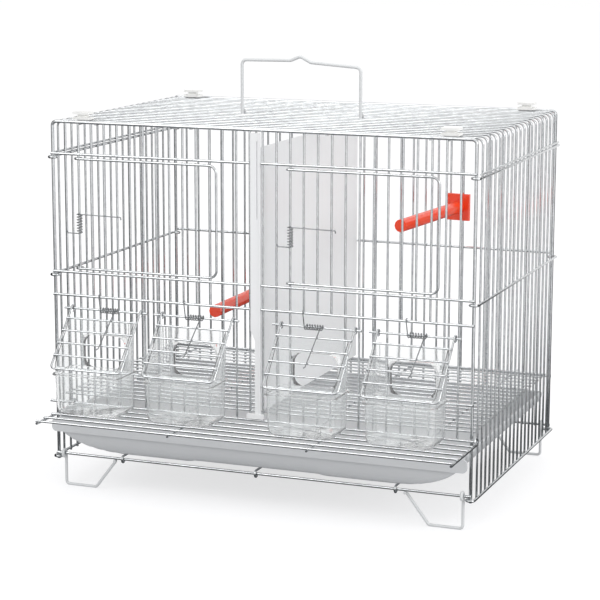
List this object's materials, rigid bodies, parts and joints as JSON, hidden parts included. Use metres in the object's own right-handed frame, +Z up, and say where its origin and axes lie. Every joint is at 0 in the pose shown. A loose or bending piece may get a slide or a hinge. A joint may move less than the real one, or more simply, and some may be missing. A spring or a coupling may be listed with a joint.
{
  "type": "bird cage",
  "caption": "Rectangular wire bird cage in two compartments with sprung doors, outside feeders under wire flaps, a pull-out tray and divider, and a folding handle.",
  "frame": {"origin": "on the surface that the cage stands on, below the middle of its overall box", "axes": "+X to the right seen from the front, +Y from the doors to the back, +Z up"},
  "size_m": [0.413, 0.3453, 0.397],
  "materials": {
    "wire": "bright pale grey zinc coating",
    "spring_steel": "dark drawn wire",
    "tray_plastic": "satin",
    "divider_plastic": "satin",
    "clear_plastic": "clear",
    "perch_plastic": "gloss",
    "clip_plastic": "satin"
  },
  "bodies": {
    "cage": {"front_panel": "wire", "back_panel": "wire", "left_side_panel": "wire", "right_side_panel": "wire", "roof_panel": "wire", "floor_grid": "wire", "feeder_shelf": "wire", "front_left_foot": "wire", "front_right_foot": "wire", "back_left_foot": "wire", "back_right_foot": "wire", "left_tray_runner": "wire", "middle_tray_runner": "wire", "right_tray_runner": "wire", "left_door_spring": "spring_steel", "right_door_spring": "spring_steel", "flap_spring_1": "spring_steel", "flap_spring_2": "spring_steel", "flap_spring_3": "spring_steel", "flap_spring_4": "spring_steel", "left_perch": "perch_plastic", "right_perch": "perch_plastic", "front_left_clip": "clip_plastic", "front_right_clip": "clip_plastic", "back_left_clip": "clip_plastic", "back_right_clip": "clip_plastic"},
    "left_door": {"left_door": "wire"},
    "right_door": {"right_door": "wire"},
    "flap_1": {"feeder_flap_1": "wire"},
    "cup_1": {"cup_1": "clear_plastic"},
    "flap_2": {"feeder_flap_2": "wire"},
    "cup_2": {"cup_2": "clear_plastic"},
    "flap_3": {"feeder_flap_3": "wire"},
    "cup_3": {"cup_3": "clear_plastic"},
    "flap_4": {"feeder_flap_4": "wire"},
    "cup_4": {"cup_4": "clear_plastic"},
    "tray": {"tray": "tray_plastic"},
    "divider": {"divider": "divider_plastic"},
    "handle": {"handle": "wire"}
  },
  "joints": [
    {"name": "left_door_hinge", "type": "hinge", "parent": "cage", "child": "left_door", "pos_m": [-0.17415, -0.09849, 0.2075], "axis": [0, 0, -1], "range_deg": [0, 120], "stiffness_Nm_per_rad": 0.02, "springref_deg": -34.38, "deforming": ["left_door_spring"]},
    {"name": "right_door_hinge", "type": "hinge", "parent": "cage", "child": "right_door", "pos_m": [0.032, -0.09849, 0.2075], "axis": [0, 0, -1], "range_deg": [0, 100], "stiffness_Nm_per_rad": 0.02, "springref_deg": -34.38, "deforming": ["right_door_spring"]},
    {"name": "flap_1_hinge", "type": "hinge", "parent": "cage", "child": "flap_1", "pos_m": [-0.14691, -0.10035, 0.17], "axis": [-1, 0, 0], "range_deg": [0, 75], "stiffness_Nm_per_rad": 0.01, "springref_deg": -34.38, "deforming": ["flap_spring_1"]},
    {"name": "cup_1_slide", "type": "slide", "parent": "cage", "child": "cup_1", "axis": [0, -1, 0], "range_m": [0, 0.0446]},
    {"name": "flap_2_hinge", "type": "hinge", "parent": "cage", "child": "flap_2", "pos_m": [-0.05644, -0.10035, 0.17], "axis": [-1, 0, 0], "range_deg": [0, 75], "stiffness_Nm_per_rad": 0.01, "springref_deg": -34.38, "deforming": ["flap_spring_2"]},
    {"name": "cup_2_slide", "type": "slide", "parent": "cage", "child": "cup_2", "axis": [0, -1, 0], "range_m": [0, 0.0446]},
    {"name": "flap_3_hinge", "type": "hinge", "parent": "cage", "child": "flap_3", "pos_m": [0.05924, -0.10035, 0.17], "axis": [-1, 0, 0], "range_deg": [0, 75], "stiffness_Nm_per_rad": 0.01, "springref_deg": -34.38, "deforming": ["flap_spring_3"]},
    {"name": "cup_3_slide", "type": "slide", "parent": "cage", "child": "cup_3", "axis": [0, -1, 0], "range_m": [0, 0.0446]},
    {"name": "flap_4_hinge", "type": "hinge", "parent": "cage", "child": "flap_4", "pos_m": [0.14971, -0.10035, 0.17], "axis": [-1, 0, 0], "range_deg": [0, 75], "stiffness_Nm_per_rad": 0.01, "springref_deg": -34.38, "deforming": ["flap_spring_4"]},
    {"name": "cup_4_slide", "type": "slide", "parent": "cage", "child": "cup_4", "axis": [0, -1, 0], "range_m": [0, 0.0446]},
    {"name": "tray_slide", "type": "slide", "parent": "cage", "child": "tray", "axis": [0, -1, 0], "range_m": [0, 0.25]},
    {"name": "divider_slide", "type": "slide", "parent": "cage", "child": "divider", "axis": [0, -1, 0], "range_m": [0, 0.25]},
    {"name": "handle_hinge", "type": "hinge", "parent": "cage", "child": "handle", "pos_m": [-0.0087, 0.034, 0.341], "axis": [1, 0, 0], "range_deg": [-88, 60]}
  ],
  "couplings": [
    {"joint": "cup_1_slide", "follows": "flap_1_hinge", "m_per_rad": 0.034},
    {"joint": "cup_2_slide", "follows": "flap_2_hinge", "m_per_rad": 0.034},
    {"joint": "cup_3_slide", "follows": "flap_3_hinge", "m_per_rad": 0.034},
    {"joint": "cup_4_slide", "follows": "flap_4_hinge", "m_per_rad": 0.034}
  ]
}
